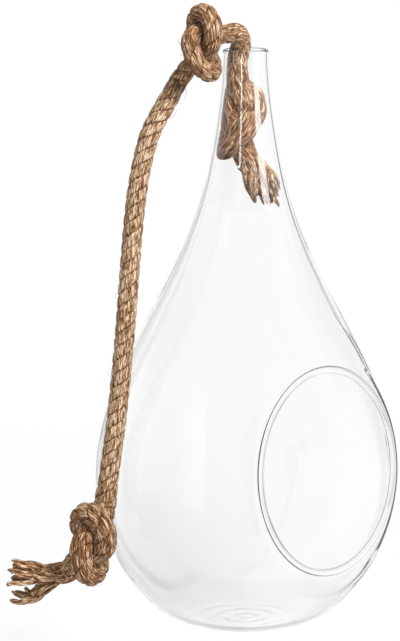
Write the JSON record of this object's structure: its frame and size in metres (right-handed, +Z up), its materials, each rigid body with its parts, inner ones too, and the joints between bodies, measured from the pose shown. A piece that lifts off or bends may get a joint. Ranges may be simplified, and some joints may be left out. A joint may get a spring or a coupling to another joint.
{
  "type": "hanging glass vessel",
  "caption": "Clear blown-glass teardrop vessel with a flattened front, a round side opening and a narrow neck, hung from a knotted jute rope that passes through the neck.",
  "frame": {"origin": "centre of the flat foot, on the table", "axes": "+Z up along the axis of the teardrop; the side opening faces -Y"},
  "size_m": [0.2025, 0.1413, 0.3257],
  "materials": {
    "glass": "clear, fire-polished",
    "jute": "natural three-strand jute, rough and fibrous"
  },
  "bodies": {
    "vessel": {"glass_vessel": "glass"},
    "rope": {"inner_tail_strand_a": "jute", "inner_tail_strand_b": "jute", "inner_tail_strand_c": "jute", "stopper_knot": "jute", "neck_run": "jute", "rim_knot": "jute", "hanging_run": "jute", "end_knot": "jute", "end_tail_strand_a": "jute", "end_tail_strand_b": "jute", "end_tail_strand_c": "jute"}
  },
  "joints": [
    {"name": "rope_swivel", "type": "hinge", "parent": "vessel", "child": "rope", "pos_m": [0, 0, 0.3], "axis": [0, 0, 1], "continuous": true}
  ]
}
